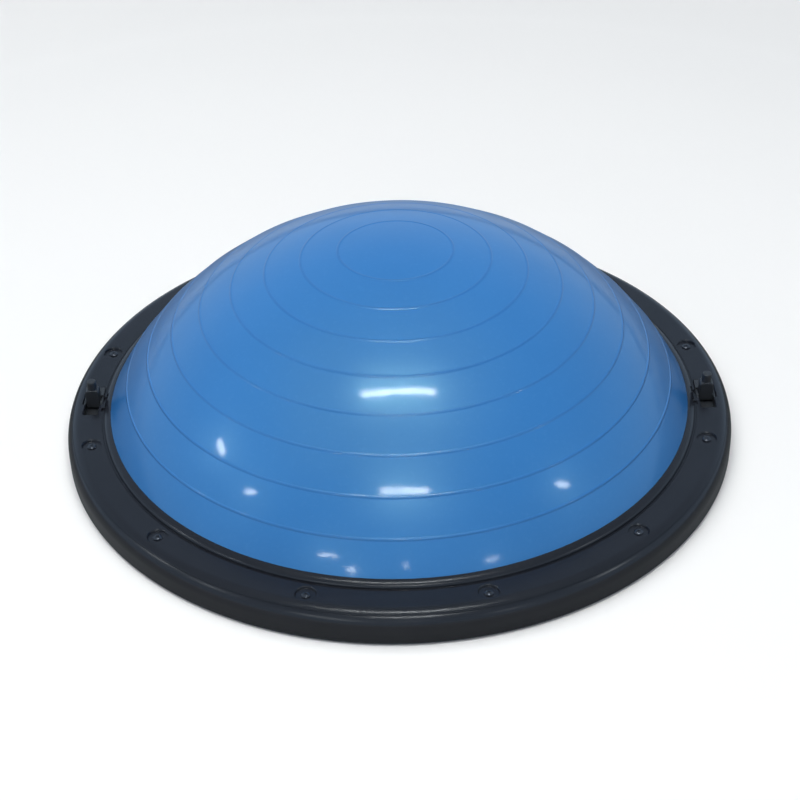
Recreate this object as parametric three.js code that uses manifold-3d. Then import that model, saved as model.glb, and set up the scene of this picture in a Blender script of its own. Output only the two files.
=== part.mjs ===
// Balance dome trainer: an inflated vinyl dome clamped onto a round moulded platform.
// Millimetres, +Z up. The origin is the centre of the resting plane. The front is -Y and the two
// band anchors are at +X and -X. Azimuth is measured from the front, towards +X.
import * as THREE from "three";
import { mergeVertices } from "three/addons/utils/BufferGeometryUtils.js";
import Module from "manifold-3d";

const wasm = await Module();
wasm.setup();

// ---- Driving dimensions ----
const GAP = 0.4; // clearance between pieces that touch in the real object
const RING_SEGMENTS = 48;
const OVERSHOOT = 1; // how far a cutting solid runs past the face it cuts

// Platform (base tray)
const PLATFORM_RADIUS = 300;
const FOOT_STAND = 2; // height of the platform's underside above the floor
const PLATE_TOP = 5.5;
const LEDGE_RADIUS = 292.5;
const LEDGE_TOP = 24;
const CLAMP_LAND_INNER = 266;
const CLAMP_LAND_OUTER = 273.8;
const CLAMP_LAND_TOP = 13.8;
const RIB_TOP = 8.9;
const RIB_WIDTH = 2.6;
const RIB_COUNT = 12;
const RIB_RING_RADIUS = 141;
const HUB_RADIUS = 28;
const VALVE_RECESS_RADIUS = 22;
const VALVE_RECESS_TOP = 6;
const VALVE_HOLE_RADIUS = 9.2;

// Inflated dome
const DOME_RADIUS = 299;
const DOME_APEX = 186;
const DOME_WALL = 3.5;
const DOME_SHOULDER_Z = 22; // where the dome leaves its spherical shape, under the clamp ring
const DOME_STEPS = 10;
const DOME_INNER_STEPS = 6;
const FLANGE_BOTTOM = CLAMP_LAND_TOP + GAP;
const FLANGE_TOP = FLANGE_BOTTOM + 3;
const FLANGE_RADIUS = 273.6;
const MEMBRANE_BOTTOM = RIB_TOP + GAP;
const MEMBRANE_TOP = MEMBRANE_BOTTOM + 3;
const MEMBRANE_HOLE_RADIUS = 9;

// Clamp ring
const RING_TOP = 30;
const RING_OUTER = 294.6; // the seam between ring and platform runs along the rounded edge
const RING_UNDERSIDE = 26.5;
const RING_SKIRT_INNER = 291.4;
const LIP_OUTER = 266.4;
const LIP_TOP = 35.4;
const GROOVE_OUTER = 268.4;
const GROOVE_DEPTH = 1;
const CLAMP_SKIRT_BOTTOM = FLANGE_TOP + GAP;
const CLAMP_SKIRT_INNER = 269.3;

// Rounded outer edge, shared by the ring and the platform
const EDGE_WIDTH = 13;
const EDGE_DROP = 15;

// Screws around the ring
const SCREW_COUNT = 12;
const SCREW_CIRCLE = 279.5;
const SCREW_FIRST_AZIMUTH = 15;
const COUNTERBORE_RADIUS = 8;
const COUNTERBORE_FLOOR = 26.8;
const SCREW_PAD_RADIUS = 9.5;
const SCREW_PAD_BOTTOM = 23.5;
const SCREW_HEAD_RADIUS = 3.9;
const SCREW_HEAD_BOTTOM = COUNTERBORE_FLOOR + 0.3;
const SCREW_HEAD_TOP = 29.95;
const SCREW_SHANK_RADIUS = 2;
const SCREW_TIP = 10;
const SCREW_HOLE_RADIUS = 2.4;
const BOSS_RADIUS = 5;
const BOSS_TOP = SCREW_PAD_BOTTOM - GAP;
const PILOT_BOTTOM = 8.5;

// Rubber feet
const FOOT_COUNT = 8;
const FOOT_CIRCLE = 282;
const FOOT_FIRST_AZIMUTH = 22.5;
const FOOT_RADIUS = 11;
const FOOT_HEIGHT = 3.2;
const FOOT_SEAT_TOP = 3.5;

// Hand grips moulded into the underside, one below each band anchor
const GRIP_INNER = 278;
const GRIP_OUTER = 293;
const GRIP_HALF_ANGLE = 10;
const GRIP_TOP = 15;
const GRIP_BOX_INNER = 275.8;
const GRIP_BOX_OUTER = 295.2;
const GRIP_BOX_HALF_ANGLE = 11.5;
const GRIP_BOX_TOP = 17.6;

// Fold-down band anchors. u is the distance from the anchor's centre line along X.
const ANCHOR_X = 278;
const PIVOT_Y = -2.5;
const PIVOT_Z = 26;
const PIN_RADIUS = 1.5;
const PIN_BORE_RADIUS = 1.9;
const PIN_HALF_LENGTH = 8.2;
const POST_HALF_WIDTH = 6.2;
const POST_HALF_DEPTH = 5;
const POST_SHOULDER_Z = 41.5;
const POST_SHOULDER_ROUND = 2.6;
const STEM_RADIUS = 4.2;
const STEM_TOP = 50;
const STEM_CHAMFER = 0.8;
const BRACKET_INNER_U = 6.8;
const BRACKET_OUTER_U = 8.4;
const BRACKET_BOTTOM = 18;
const BRACKET_FLOOR_TOP = 20.6;
const BRACKET_UNDER_PLATE = RING_UNDERSIDE - GAP;
const BRACKET_FRONT_Y = -30;
const BRACKET_BACK_Y = 18.5;
const BRACKET_END_WALL = 1.8;
const EAR_FRONT_Y = -11.1;
const EAR_TOP = 28.6;
const BACKSTOP_FRONT_Y = PIVOT_Y + POST_HALF_DEPTH + 0.5;
const BACKSTOP_BACK_Y = 15.6;
const POCKET_FRONT_Y = EAR_FRONT_Y - GAP;
const POCKET_BACK_Y = BACKSTOP_BACK_Y + GAP;
const TRENCH_HALF_WIDTH = POST_HALF_WIDTH + GAP;
const TRENCH_FRONT_Y = -27;
const WINDOW_INNER = 264.8;
const WINDOW_OUTER = 268.4;
const WINDOW_FLOOR = 27.8;
const WINDOWS = [
  { y: -2.8, half: 3.6 },
  { y: -19.2, half: 3 },
];

// Air valve
const VALVE_FLANGE_RADIUS = 18;
const VALVE_FLANGE_THICKNESS = 2;
const VALVE_NECK_RADIUS = 8.6;
const VALVE_BORE_RADIUS = 5;
const VALVE_NECK_BOTTOM = 4.6;
const PLUG_HEAD_RADIUS = 9.5;
const PLUG_HEAD_BOTTOM = 2.5;
const PLUG_HEAD_TOP = VALVE_NECK_BOTTOM - GAP;
const PLUG_STEM_RADIUS = 4.6;
const PLUG_TOP = 17;

// ---- Materials ----
function finish(color, roughness, metalness = 0) {
  return new THREE.MeshStandardMaterial({ color, roughness, metalness });
}
const blackPlastic = finish(0x24262b, 0.42);
const anchorPlastic = finish(0x17181a, 0.35);
const blueVinyl = finish(0x2f78c4, 0.22);
const screwSteel = finish(0x2b2c2f, 0.35, 0.9);
const pinSteel = finish(0x9a9ca0, 0.3, 1);
const blackRubber = finish(0x121212, 0.8);
const whitePlastic = finish(0xe9e9e4, 0.45);

// ---- Solid helpers ----
function solid(geometry) {
  const bare = geometry.clone();
  bare.deleteAttribute("normal");
  bare.deleteAttribute("uv");
  const merged = mergeVertices(bare, 1e-4);
  const index = merged.index.array;
  const triVerts = [];
  for (let i = 0; i < index.length; i += 3) {
    const [a, b, c] = index.slice(i, i + 3);
    if (a !== b && b !== c && c !== a) triVerts.push(a, b, c);
  }
  const vertProperties = new Float32Array(merged.attributes.position.array);
  const mesh = new wasm.Mesh({ numProp: 3, vertProperties, triVerts: new Uint32Array(triVerts) });
  return new wasm.Manifold(mesh);
}

function geometryOf(body) {
  const mesh = body.getMesh();
  const position = new THREE.BufferAttribute(mesh.vertProperties, 3);
  const indexed = new THREE.BufferGeometry().setAttribute("position", position);
  indexed.setIndex(new THREE.BufferAttribute(mesh.triVerts, 1));
  const faceted = indexed.toNonIndexed();
  faceted.computeVertexNormals();
  return faceted;
}

function piece(name, body, material) {
  const mesh = new THREE.Mesh(geometryOf(body), material);
  mesh.name = name;
  return mesh;
}

// Turns an outline of [radius, height] points about +Z. The outline runs anticlockwise.
function revolve(outline, segments = RING_SEGMENTS) {
  const points = outline.map(([r, z]) => new THREE.Vector2(r, z));
  return new THREE.LatheGeometry(points, segments).rotateX(Math.PI / 2);
}

function closed(outline) {
  return [...outline, outline[0]];
}

function upright(radius, low, high, segments = 16) {
  const cylinder = new THREE.CylinderGeometry(radius, radius, high - low, segments);
  return cylinder.rotateX(Math.PI / 2).translate(0, 0, (low + high) / 2);
}

function alongX(radius, halfLength, y, z, segments = 20) {
  const cylinder = new THREE.CylinderGeometry(radius, radius, 2 * halfLength, segments);
  return cylinder.rotateZ(Math.PI / 2).translate(0, y, z);
}

function block([x0, x1], [y0, y1], [z0, z1]) {
  const box = new THREE.BoxGeometry(x1 - x0, y1 - y0, z1 - z0);
  return box.translate((x0 + x1) / 2, (y0 + y1) / 2, (z0 + z1) / 2);
}

// A length of ring between two radii, centred on an azimuth.
function sector(inner, outer, azimuth, halfAngle, low, high) {
  const from = THREE.MathUtils.degToRad(azimuth - halfAngle - 90);
  const to = THREE.MathUtils.degToRad(azimuth + halfAngle - 90);
  const shape = new THREE.Shape();
  shape.absarc(0, 0, outer, from, to, false);
  shape.absarc(0, 0, inner, to, from, true);
  const options = { depth: high - low, bevelEnabled: false, curveSegments: 6 };
  return new THREE.ExtrudeGeometry(shape, options).translate(0, 0, low);
}

function atAzimuth(geometry, radius, azimuth) {
  const angle = THREE.MathUtils.degToRad(azimuth);
  return geometry.translate(radius * Math.sin(angle), -radius * Math.cos(angle), 0);
}

function azimuths(count, first) {
  return Array.from({ length: count }, (_, i) => first + (360 / count) * i);
}

function arc(centreR, centreZ, radius, fromDegrees, toDegrees, steps) {
  return Array.from({ length: steps + 1 }, (_, i) => {
    const angle = THREE.MathUtils.degToRad(fromDegrees + ((toDegrees - fromDegrees) * i) / steps);
    return [centreR + radius * Math.cos(angle), centreZ + radius * Math.sin(angle)];
  });
}

// Points along the rounded outer edge, an elliptical quarter, from one radius in to another.
function roundedEdge(from, to, steps) {
  const centre = PLATFORM_RADIUS - EDGE_WIDTH;
  const start = Math.acos((from - centre) / EDGE_WIDTH);
  const end = Math.acos((to - centre) / EDGE_WIDTH);
  return Array.from({ length: steps + 1 }, (_, i) => {
    const angle = start + ((end - start) * i) / steps;
    const z = RING_TOP - EDGE_DROP + EDGE_DROP * Math.sin(angle);
    return [centre + EDGE_WIDTH * Math.cos(angle), z];
  });
}

// ---- Platform ----
function trayOutline() {
  return closed([
    [VALVE_RECESS_RADIUS, FOOT_STAND],
    [PLATFORM_RADIUS - 1.2, FOOT_STAND],
    [PLATFORM_RADIUS, FOOT_STAND + 1.2],
    ...roundedEdge(PLATFORM_RADIUS, RING_OUTER + GAP, 3),
    [RING_OUTER + GAP, LEDGE_TOP],
    [LEDGE_RADIUS, LEDGE_TOP],
    [LEDGE_RADIUS, PLATE_TOP],
    [CLAMP_LAND_OUTER, PLATE_TOP],
    [CLAMP_LAND_OUTER, CLAMP_LAND_TOP],
    [CLAMP_LAND_INNER, CLAMP_LAND_TOP],
    [CLAMP_LAND_INNER, PLATE_TOP],
    [HUB_RADIUS, PLATE_TOP],
    [HUB_RADIUS, RIB_TOP],
    [VALVE_HOLE_RADIUS, RIB_TOP],
    [VALVE_HOLE_RADIUS, VALVE_RECESS_TOP],
    [VALVE_RECESS_RADIUS, VALVE_RECESS_TOP],
  ]);
}

function radialRib(azimuth) {
  const half = RIB_WIDTH / 2;
  const rib = block([-half, half], [HUB_RADIUS - 2, CLAMP_LAND_INNER + 2], [PLATE_TOP - 1, RIB_TOP]);
  return rib.rotateZ(THREE.MathUtils.degToRad(azimuth));
}

function ringRib() {
  const half = RIB_WIDTH / 2;
  return revolve(
    closed([
      [RIB_RING_RADIUS - half, PLATE_TOP - 1],
      [RIB_RING_RADIUS + half, PLATE_TOP - 1],
      [RIB_RING_RADIUS + half, RIB_TOP],
      [RIB_RING_RADIUS - half, RIB_TOP],
    ]),
  );
}

function baseTray() {
  let body = solid(revolve(trayOutline())).add(solid(ringRib()));
  for (const azimuth of azimuths(RIB_COUNT, 0)) {
    body = body.add(solid(radialRib(azimuth)));
  }
  for (const azimuth of [90, -90]) {
    const top = GRIP_BOX_TOP;
    const box = sector(GRIP_BOX_INNER, GRIP_BOX_OUTER, azimuth, GRIP_BOX_HALF_ANGLE, PLATE_TOP - 1, top);
    const hollow = sector(GRIP_INNER, GRIP_OUTER, azimuth, GRIP_HALF_ANGLE, FOOT_STAND - OVERSHOOT, GRIP_TOP);
    body = body.add(solid(box)).subtract(solid(hollow));
  }
  for (const azimuth of azimuths(SCREW_COUNT, SCREW_FIRST_AZIMUTH)) {
    const boss = upright(BOSS_RADIUS, PLATE_TOP - 1, BOSS_TOP);
    const pilot = upright(SCREW_HOLE_RADIUS, PILOT_BOTTOM, BOSS_TOP + OVERSHOOT, 12);
    body = body.add(solid(atAzimuth(boss, SCREW_CIRCLE, azimuth)));
    body = body.subtract(solid(atAzimuth(pilot, SCREW_CIRCLE, azimuth)));
  }
  for (const azimuth of azimuths(FOOT_COUNT, FOOT_FIRST_AZIMUTH)) {
    const seat = upright(FOOT_RADIUS + GAP, FOOT_STAND - OVERSHOOT, FOOT_SEAT_TOP, 20);
    body = body.subtract(solid(atAzimuth(seat, FOOT_CIRCLE, azimuth)));
  }
  return piece("base_tray", body, blackPlastic);
}

// ---- Inflated dome ----
const DOME_CENTRE_Z = DOME_APEX - DOME_RADIUS;

function domeRadiusAt(z) {
  return Math.sqrt(DOME_RADIUS ** 2 - (z - DOME_CENTRE_Z) ** 2);
}

function domeArc(sphereRadius, steps) {
  const rise = (DOME_SHOULDER_Z - DOME_CENTRE_Z) / sphereRadius;
  const shoulder = THREE.MathUtils.radToDeg(Math.asin(rise));
  const points = arc(0, DOME_CENTRE_Z, sphereRadius, shoulder, 90, steps);
  points[steps][0] = 0; // the apex is exactly on the axis
  return points;
}

function domeBladder() {
  const inner = domeArc(DOME_RADIUS - DOME_WALL, DOME_INNER_STEPS).reverse();
  const outer = domeArc(DOME_RADIUS, DOME_STEPS);
  const outline = [
    ...inner,
    [263, 19],
    [261.5, MEMBRANE_TOP + 1.2],
    [259.5, MEMBRANE_TOP],
    [MEMBRANE_HOLE_RADIUS, MEMBRANE_TOP],
    [MEMBRANE_HOLE_RADIUS, MEMBRANE_BOTTOM],
    [263.2, MEMBRANE_BOTTOM],
    [264.6, MEMBRANE_BOTTOM + 1.2],
    [265.4, FLANGE_BOTTOM],
    [FLANGE_RADIUS, FLANGE_BOTTOM],
    [FLANGE_RADIUS, FLANGE_TOP],
    [268.6, FLANGE_TOP],
    [267.6, FLANGE_TOP + 2.2],
    ...outer,
  ];
  return piece("dome_bladder", solid(revolve(outline)), blueVinyl);
}

// ---- Clamp ring ----
function ringOutline() {
  const seatAt = (z) => [domeRadiusAt(z) + GAP, z];
  return closed([
    [RING_SKIRT_INNER, LEDGE_TOP + GAP],
    [RING_OUTER, LEDGE_TOP + GAP],
    ...roundedEdge(RING_OUTER, PLATFORM_RADIUS - EDGE_WIDTH, 3),
    [GROOVE_OUTER, RING_TOP],
    [GROOVE_OUTER - 0.4, RING_TOP - GROOVE_DEPTH],
    [LIP_OUTER + 0.4, RING_TOP - GROOVE_DEPTH],
    [LIP_OUTER, RING_TOP + 0.6],
    [LIP_OUTER - 0.4, LIP_TOP - 1.8],
    [LIP_OUTER - 2.2, LIP_TOP - 0.2],
    [LIP_OUTER - 4.8, LIP_TOP],
    seatAt(LIP_TOP - 0.6),
    seatAt(28),
    seatAt(DOME_SHOULDER_Z),
    [CLAMP_SKIRT_INNER, FLANGE_TOP + 2.2],
    [CLAMP_SKIRT_INNER, CLAMP_SKIRT_BOTTOM],
    [CLAMP_LAND_OUTER, CLAMP_SKIRT_BOTTOM],
    [CLAMP_LAND_OUTER, RING_UNDERSIDE],
    [RING_SKIRT_INNER, RING_UNDERSIDE],
  ]);
}

// Everything cut from the ring for the band anchor on one side (+1 is +X).
function anchorOpenings(side) {
  const x = side * ANCHOR_X;
  const halfPocket = BRACKET_OUTER_U + GAP;
  const above = LIP_TOP + OVERSHOOT;
  const pocketX = [x - halfPocket, x + halfPocket];
  const seatY = [BRACKET_FRONT_Y - GAP, BRACKET_BACK_Y + GAP];
  const cuts = [
    block(pocketX, [POCKET_FRONT_Y, POCKET_BACK_Y], [RING_UNDERSIDE - OVERSHOOT, above]),
    block(
      [x - TRENCH_HALF_WIDTH, x + TRENCH_HALF_WIDTH],
      [TRENCH_FRONT_Y, POCKET_FRONT_Y + OVERSHOOT],
      [RING_UNDERSIDE - OVERSHOOT, above],
    ),
    block(pocketX, seatY, [CLAMP_SKIRT_BOTTOM - OVERSHOOT, RING_UNDERSIDE]),
  ];
  const windowX = [side * WINDOW_INNER, side * WINDOW_OUTER].sort((a, b) => a - b);
  for (const { y, half } of WINDOWS) {
    cuts.push(block(windowX, [y - half, y + half], [WINDOW_FLOOR, above]));
  }
  return cuts;
}

function clampRing() {
  let body = solid(revolve(ringOutline()));
  const screwAzimuths = azimuths(SCREW_COUNT, SCREW_FIRST_AZIMUTH);
  for (const azimuth of screwAzimuths) {
    const pad = upright(SCREW_PAD_RADIUS, SCREW_PAD_BOTTOM, RING_UNDERSIDE + 0.5, 20);
    body = body.add(solid(atAzimuth(pad, SCREW_CIRCLE, azimuth)));
  }
  for (const azimuth of screwAzimuths) {
    const recess = upright(COUNTERBORE_RADIUS, COUNTERBORE_FLOOR, RING_TOP + OVERSHOOT, 24);
    const low = SCREW_PAD_BOTTOM - OVERSHOOT;
    const hole = upright(SCREW_HOLE_RADIUS, low, COUNTERBORE_FLOOR + OVERSHOOT, 12);
    body = body.subtract(solid(atAzimuth(recess, SCREW_CIRCLE, azimuth)));
    body = body.subtract(solid(atAzimuth(hole, SCREW_CIRCLE, azimuth)));
  }
  for (const cut of [...anchorOpenings(1), ...anchorOpenings(-1)]) {
    body = body.subtract(solid(cut));
  }
  return piece("clamp_ring", body, blackPlastic);
}

// ---- Fasteners and feet ----
function ringScrew(name) {
  const outline = [
    [0, SCREW_TIP],
    [SCREW_SHANK_RADIUS, SCREW_TIP + 3],
    [SCREW_SHANK_RADIUS, SCREW_HEAD_BOTTOM],
    [SCREW_HEAD_RADIUS, SCREW_HEAD_BOTTOM],
    [SCREW_HEAD_RADIUS, SCREW_HEAD_BOTTOM + 1],
    [SCREW_HEAD_RADIUS * 0.7, SCREW_HEAD_TOP - 0.6],
    [0, SCREW_HEAD_TOP],
  ];
  return piece(name, solid(revolve(outline, 12)), screwSteel);
}

function rubberFoot(name) {
  const outline = [
    [0, 0],
    [FOOT_RADIUS - 1, 0],
    [FOOT_RADIUS, 0.8],
    [FOOT_RADIUS, FOOT_HEIGHT],
    [0, FOOT_HEIGHT],
  ];
  return piece(name, solid(revolve(outline, 20)), blackRubber);
}

// Copies of a piece spaced evenly round a circle, each numbered from the first azimuth.
function around(makePiece, stem, count, radius, firstAzimuth) {
  const group = new THREE.Group();
  azimuths(count, firstAzimuth).forEach((azimuth, i) => {
    const mesh = makePiece(stem + "_" + String(i + 1).padStart(2, "0"));
    const angle = THREE.MathUtils.degToRad(azimuth);
    mesh.position.set(radius * Math.sin(angle), -radius * Math.cos(angle), 0);
    mesh.rotation.z = angle;
    group.add(mesh);
  });
  return group;
}

// ---- Band anchors ----
function anchorBracket(name) {
  const full = [-BRACKET_OUTER_U, BRACKET_OUTER_U];
  const length = [BRACKET_FRONT_Y, BRACKET_BACK_Y];
  const low = BRACKET_BOTTOM;
  const walls = [
    [-BRACKET_OUTER_U, -BRACKET_INNER_U],
    [BRACKET_INNER_U, BRACKET_OUTER_U],
  ];
  let body = solid(block(full, length, [low, BRACKET_FLOOR_TOP]));
  for (const wall of walls) {
    body = body.add(solid(block(wall, length, [low, BRACKET_UNDER_PLATE])));
    body = body.add(solid(block(wall, [EAR_FRONT_Y, BACKSTOP_BACK_Y], [low, EAR_TOP])));
  }
  const frontWall = [BRACKET_FRONT_Y, BRACKET_FRONT_Y + BRACKET_END_WALL];
  body = body.add(solid(block(full, frontWall, [low, BRACKET_UNDER_PLATE])));
  const backstop = block(full, [BACKSTOP_FRONT_Y, BACKSTOP_BACK_Y], [low, RING_TOP]);
  const tail = block(full, [BACKSTOP_FRONT_Y, BRACKET_BACK_Y], [low, BRACKET_UNDER_PLATE]);
  body = body.add(solid(backstop)).add(solid(tail));
  const bore = alongX(PIN_BORE_RADIUS, BRACKET_OUTER_U + OVERSHOOT, PIVOT_Y, PIVOT_Z);
  return piece(name, body.subtract(solid(bore)), anchorPlastic);
}

function shoulderBlock() {
  const w = POST_HALF_WIDTH;
  const r = POST_SHOULDER_ROUND;
  const shape = new THREE.Shape();
  shape.moveTo(-w, PIVOT_Z);
  shape.lineTo(w, PIVOT_Z);
  shape.lineTo(w, POST_SHOULDER_Z - r);
  shape.absarc(w - r, POST_SHOULDER_Z - r, r, 0, Math.PI / 2, false);
  shape.absarc(r - w, POST_SHOULDER_Z - r, r, Math.PI / 2, Math.PI, false);
  shape.closePath();
  const options = { depth: 2 * POST_HALF_DEPTH, bevelEnabled: false, curveSegments: 5 };
  const extruded = new THREE.ExtrudeGeometry(shape, options);
  return extruded.rotateX(Math.PI / 2).translate(0, PIVOT_Y + POST_HALF_DEPTH, 0);
}

function anchorPost(name) {
  const stem = revolve(
    [
      [0, POST_SHOULDER_Z - 2],
      [STEM_RADIUS, POST_SHOULDER_Z - 2],
      [STEM_RADIUS, STEM_TOP - STEM_CHAMFER],
      [STEM_RADIUS - STEM_CHAMFER, STEM_TOP],
      [0, STEM_TOP],
    ],
    20,
  ).translate(0, PIVOT_Y, 0);
  const hub = alongX(POST_HALF_DEPTH, POST_HALF_WIDTH, PIVOT_Y, PIVOT_Z, 24);
  const bore = alongX(PIN_BORE_RADIUS, POST_HALF_WIDTH + OVERSHOOT, PIVOT_Y, PIVOT_Z);
  const body = solid(hub).add(solid(shoulderBlock())).add(solid(stem));
  return piece(name, body.subtract(solid(bore)), anchorPlastic);
}

function anchorPin(name) {
  return piece(name, solid(alongX(PIN_RADIUS, PIN_HALF_LENGTH, PIVOT_Y, PIVOT_Z)), pinSteel);
}

function bandAnchor(sideName, side) {
  const group = new THREE.Group();
  group.add(anchorBracket("anchor_bracket_" + sideName));
  group.add(anchorPin("anchor_pin_" + sideName));
  group.add(anchorPost("anchor_post_" + sideName));
  group.position.x = side * ANCHOR_X;
  return group;
}

// ---- Air valve ----
function valveBody() {
  const flangeBottom = MEMBRANE_TOP + GAP;
  const flangeTop = flangeBottom + VALVE_FLANGE_THICKNESS;
  const outline = closed([
    [VALVE_BORE_RADIUS, VALVE_NECK_BOTTOM],
    [VALVE_NECK_RADIUS, VALVE_NECK_BOTTOM],
    [VALVE_NECK_RADIUS, flangeBottom],
    [VALVE_FLANGE_RADIUS, flangeBottom],
    [VALVE_FLANGE_RADIUS, flangeTop],
    [VALVE_BORE_RADIUS, flangeTop],
  ]);
  return piece("valve_body", solid(revolve(outline, 30)), blackRubber);
}

function valvePlug() {
  const outline = [
    [0, PLUG_HEAD_BOTTOM],
    [PLUG_HEAD_RADIUS - 1, PLUG_HEAD_BOTTOM],
    [PLUG_HEAD_RADIUS, PLUG_HEAD_BOTTOM + 0.7],
    [PLUG_HEAD_RADIUS, PLUG_HEAD_TOP],
    [PLUG_STEM_RADIUS, PLUG_HEAD_TOP],
    [PLUG_STEM_RADIUS, PLUG_TOP - 2],
    [PLUG_STEM_RADIUS - 1.2, PLUG_TOP],
    [0, PLUG_TOP],
  ];
  return piece("valve_plug", solid(revolve(outline, 30)), whitePlastic);
}

// ---- Assembly ----
const trainer = new THREE.Group();
trainer.add(baseTray(), domeBladder(), clampRing());
trainer.add(around(ringScrew, "ring_screw", SCREW_COUNT, SCREW_CIRCLE, SCREW_FIRST_AZIMUTH));
trainer.add(around(rubberFoot, "foot", FOOT_COUNT, FOOT_CIRCLE, FOOT_FIRST_AZIMUTH));
trainer.add(bandAnchor("right", 1), bandAnchor("left", -1));
trainer.add(valveBody(), valvePlug());

export default trainer;
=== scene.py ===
import math

import bmesh
import bpy
from mathutils import Matrix, Vector, noise


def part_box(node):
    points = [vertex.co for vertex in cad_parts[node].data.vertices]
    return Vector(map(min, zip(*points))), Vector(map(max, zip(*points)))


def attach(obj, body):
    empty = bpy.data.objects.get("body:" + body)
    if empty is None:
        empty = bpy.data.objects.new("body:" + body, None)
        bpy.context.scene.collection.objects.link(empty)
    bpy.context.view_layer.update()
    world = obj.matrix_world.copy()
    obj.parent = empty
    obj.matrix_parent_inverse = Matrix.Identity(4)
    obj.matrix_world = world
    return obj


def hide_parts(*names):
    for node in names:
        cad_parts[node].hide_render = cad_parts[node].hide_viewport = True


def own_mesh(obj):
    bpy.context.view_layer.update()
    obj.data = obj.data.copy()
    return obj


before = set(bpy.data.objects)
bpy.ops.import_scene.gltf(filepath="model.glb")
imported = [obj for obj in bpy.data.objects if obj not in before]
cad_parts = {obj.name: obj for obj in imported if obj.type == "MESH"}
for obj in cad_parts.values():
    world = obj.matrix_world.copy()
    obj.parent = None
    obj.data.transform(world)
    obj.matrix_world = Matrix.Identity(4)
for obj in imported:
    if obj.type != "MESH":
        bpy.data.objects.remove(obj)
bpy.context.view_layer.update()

MM = 0.001
ROUND_SEGMENTS = 288  # steps round the dome, ring and platform
SMALL_SEGMENTS = 48  # steps round screws, feet and valve
SMOOTH_ANGLE = math.radians(35)  # edges sharper than this stay crisp

# ---------------------------------------------------------------- sizes read from the frame
tray_low, tray_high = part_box("base_tray")
ring_low, ring_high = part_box("clamp_ring")
dome_low, dome_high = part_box("dome_bladder")
PLATFORM_R = tray_high.x
PLATFORM_BOTTOM = tray_low.z
RING_R = ring_high.x
LIP_TOP = ring_high.z
RING_BOTTOM = ring_low.z
APEX = dome_high.z
MEMBRANE_BOTTOM = dome_low.z
FLANGE_R = dome_high.x
RING_TOP = 30 * MM
SCREWS = sorted(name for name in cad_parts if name.startswith("ring_screw"))
FEET = sorted(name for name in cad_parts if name.startswith("foot"))

# ---------------------------------------------------------------- dome sizes
DOME_R = 299 * MM
DOME_CENTRE = APEX - DOME_R
DOME_WALL = 3.5 * MM
DOME_SHOULDER = 22 * MM  # height where the dome leaves its sphere, inside the ring
DOME_SEAM = 32.5 * MM  # height where the moving skin meets the clamped skirt, under the lip
BEAD_COUNT = 8
BEAD_FIRST = 50 * MM  # arc length from the apex to the first raised bead
BEAD_PITCH = 33.4 * MM
BEAD_HEIGHT = 0.38 * MM
BEAD_HALF = 1.45 * MM
BEAD_STEPS = 8
BEAD_PAINTED_SHADE = 0.30  # painted shade: how far the vinyl of a bead is darkened to a deeper blue
BEAD_FOOT = 0.3 * MM  # a loop this far outside each bead keeps its foot crisp
SKIN_STEP = 6 * MM
SWELL = 0.35 * MM  # slow unevenness of the inflated vinyl
SWELL_SCALE = 9.0
SWELL_FINE = 2.7  # a second, weaker unevenness this many times finer
SWELL_FADE = 40 * MM  # height over which the unevenness grows above the seam
MEMBRANE_WALL = 3 * MM
MEMBRANE_EDGE_R = 261.5 * MM
FLANGE_WALL = 3 * MM
FLANGE_ROOT_R = 268.4 * MM
AIR_HOLE_R = 9 * MM

# ---------------------------------------------------------------- ring and platform sizes
LIP_R = 266.4 * MM
LIP_WIDTH = 8.5 * MM  # half width of the ellipse that the lip follows
GROOVE_R = 268.4 * MM
GROOVE_DEPTH = 0.45 * MM
CLAMP_R = 273.8 * MM
CLAMP_SKIRT_R = 269.3 * MM
RING_UNDERSIDE = 26.5 * MM
SKIRT_R = 291.4 * MM
LEDGE_TOP = 24 * MM
LEDGE_R = 292.5 * MM
SEAM_R = RING_R + 0.2 * MM
EDGE_WIDTH = 13 * MM  # the outer edge is an elliptical quarter, shared by ring and platform
EDGE_DROP = 15 * MM
PLATE_TOP = 5.5 * MM
LAND_R = 266 * MM
LAND_TOP = 13.8 * MM
HUB_R = 28 * MM
HUB_TOP = 8.9 * MM
VALVE_RECESS_R = 22 * MM
VALVE_RECESS_TOP = 6 * MM
VALVE_HOLE_R = 9.2 * MM
COUNTERBORE_R = 8 * MM
COUNTERBORE_FLOOR = 27.9 * MM
COUNTERBORE_SOFT = 1 * MM  # rounding of the counterbore's rim
SCREW_PAD_R = 9.5 * MM
SCREW_PAD_BOTTOM = 23.5 * MM
SCREW_HOLE_R = 2.4 * MM
EDGE = 0.6 * MM  # broken edge round each opening
CUT_PAST = 2 * MM
TOUCH_GAP = 0.4 * MM
GRIP_INNER = 278 * MM
GRIP_OUTER = 293 * MM
GRIP_HALF_ANGLE = math.radians(10)
GRIP_DEPTH = 13 * MM
GRIP_WALL = 2.2 * MM
BOSS_R = 5 * MM

# ---------------------------------------------------------------- anchor sizes
POCKET_FRONT = -11.5 * MM
POCKET_BACK = 16 * MM
POCKET_HALF = 8.8 * MM
TRENCH_HALF = 6.6 * MM
TRENCH_FRONT = -27 * MM
WINDOW_MIDDLE = 266.6 * MM
WINDOW_HALF = 1.8 * MM
WINDOW_FLOOR = 27.8 * MM
WINDOWS = ((-2.8 * MM, 3.6 * MM), (-19.2 * MM, 3.0 * MM))  # middle and half length along Y
PIN_BORE_R = 1.9 * MM
SHOULDER_RISE = 15.5 * MM  # top of the post's block above its pin
SHOULDER_ROUND = 2.6 * MM
STEM_R = 4.2 * MM


# ================================================================ mesh helpers
def add_object(name, mesh):
    obj = bpy.data.objects.new(name, mesh)
    bpy.context.scene.collection.objects.link(obj)
    return obj


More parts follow.
